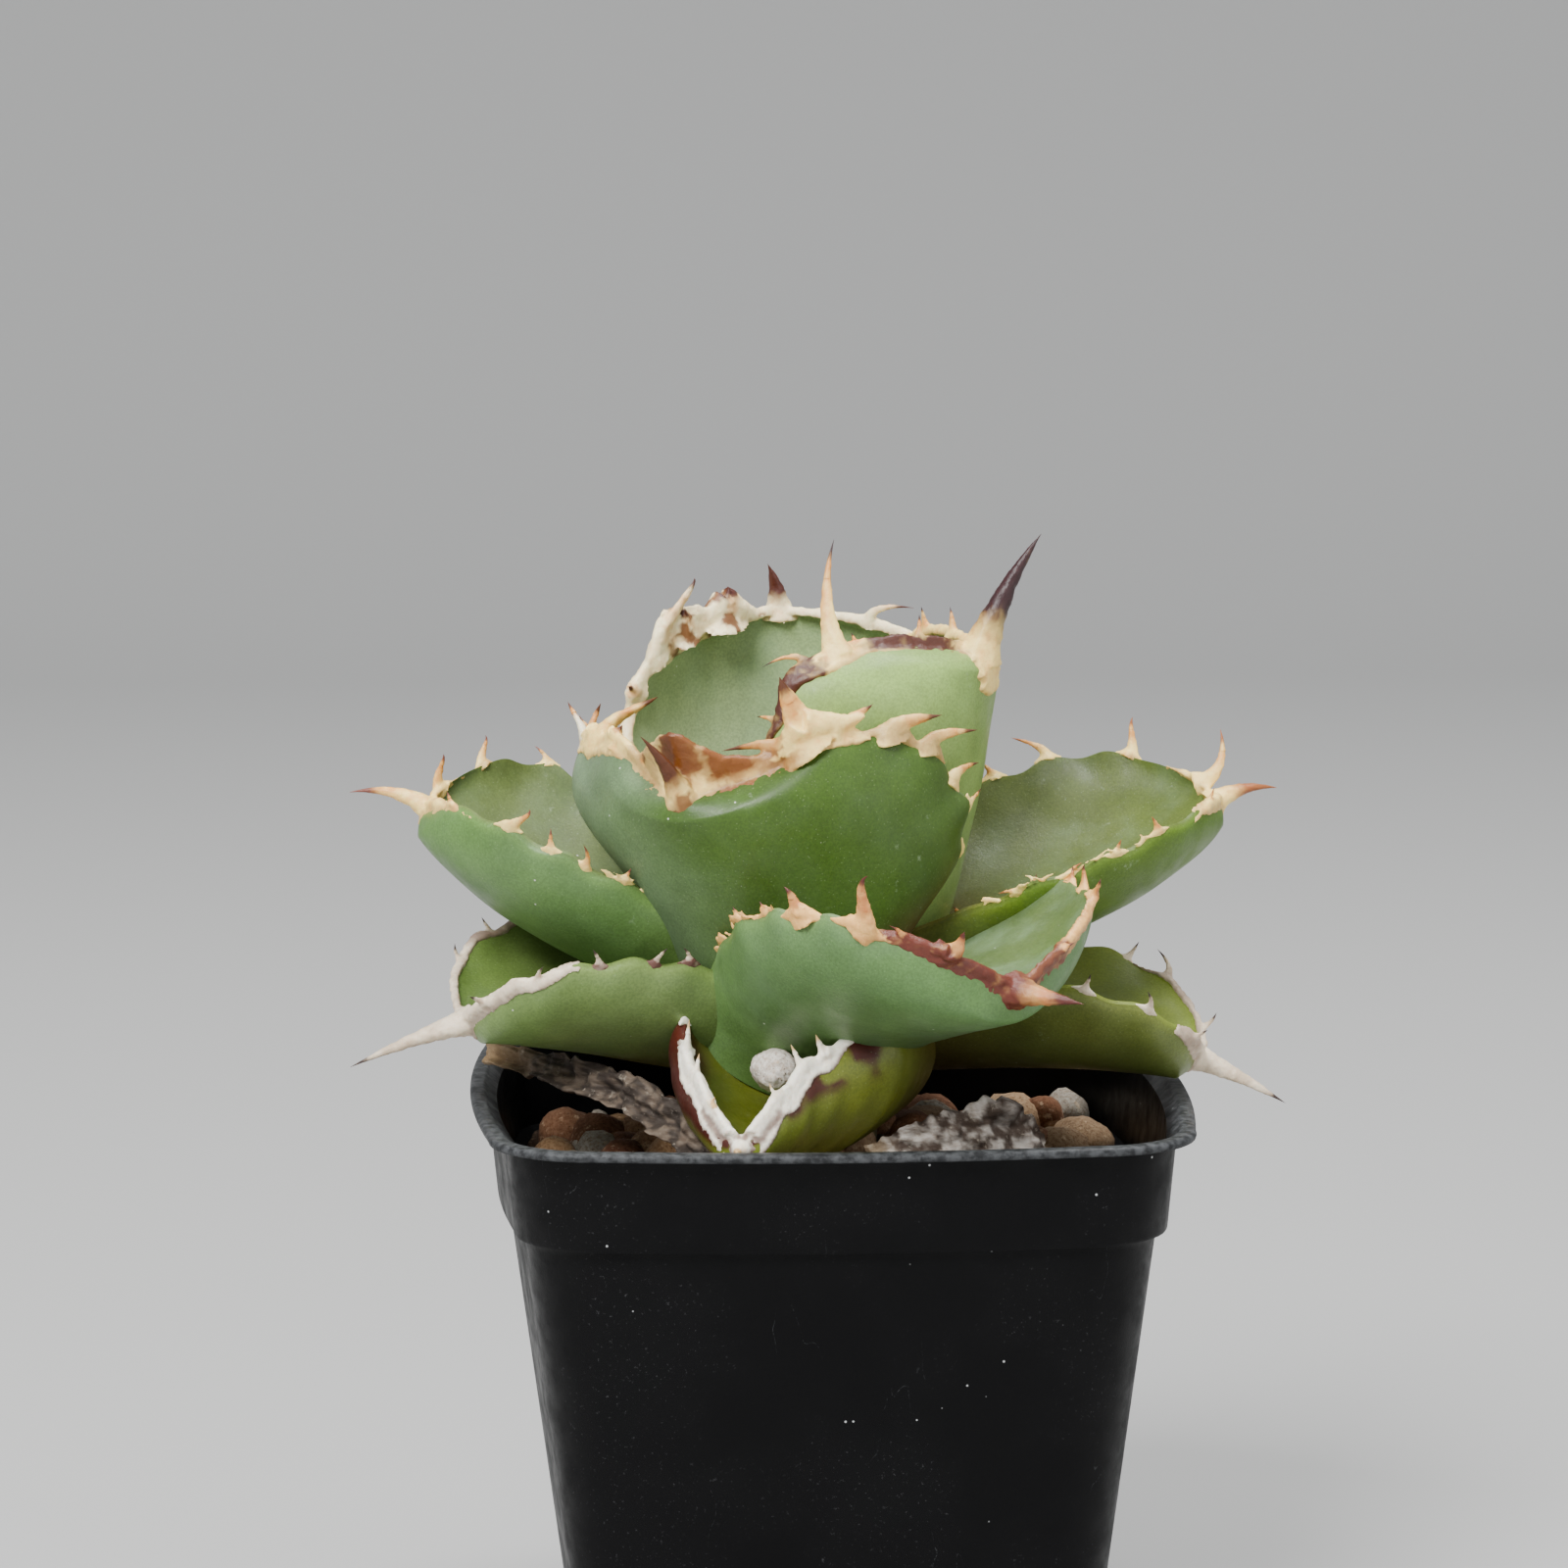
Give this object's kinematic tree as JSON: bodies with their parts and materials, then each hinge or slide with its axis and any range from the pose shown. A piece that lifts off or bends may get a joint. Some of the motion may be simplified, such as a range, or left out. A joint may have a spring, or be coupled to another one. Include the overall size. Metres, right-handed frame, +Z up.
{
  "type": "potted agave",
  "caption": "Small agave rosette of thick cupped leaves with horny toothed edges and long terminal spines, in a square black nursery pot of gravelly soil.",
  "frame": {"origin": "centre of the pot's flat base, on the surface that it stands on", "axes": "+Z up, front of the plant towards -Y, +X to the right seen from the front"},
  "size_m": [0.1234, 0.1095, 0.1538],
  "materials": {
    "pot_plastic": "satin black moulded plastic, dusty",
    "gravel": "matt tan and brown clay gravel with some pale pumice",
    "stem_bark": "matt dry stem",
    "leaf_green": "thick leaf skin, satin with a pale waxy bloom",
    "horn": "hard horny leaf edge, tan to chalk white with brown tips",
    "dried_leaf": "crumpled dry leaf, matt grey-brown",
    "pumice": "matt porous pale stone"
  },
  "bodies": {
    "root": {"pot": "pot_plastic", "soil": "gravel", "stem": "stem_bark", "heart_bud": "leaf_green", "leaf_L0": "leaf_green", "horn_L0": "horn", "leaf_L3": "leaf_green", "horn_L3": "horn", "leaf_L2": "leaf_green", "horn_L2": "horn", "leaf_L1": "leaf_green", "horn_L1": "horn", "leaf_L5": "leaf_green", "horn_L5": "horn", "leaf_L4": "leaf_green", "horn_L4": "horn", "leaf_L6": "leaf_green", "horn_L6": "horn", "leaf_R1": "leaf_green", "horn_R1": "horn", "leaf_L7": "leaf_green", "horn_L7": "horn", "leaf_L8": "leaf_green", "horn_L8": "horn", "leaf_R2": "leaf_green", "horn_R2": "horn", "leaf_L9": "leaf_green", "horn_L9": "horn", "leaf_R3": "leaf_green", "horn_R3": "horn", "dead_leaf_left": "dried_leaf", "dead_leaf_right": "dried_leaf", "pumice_stone": "pumice"}
  },
  "joints": []
}
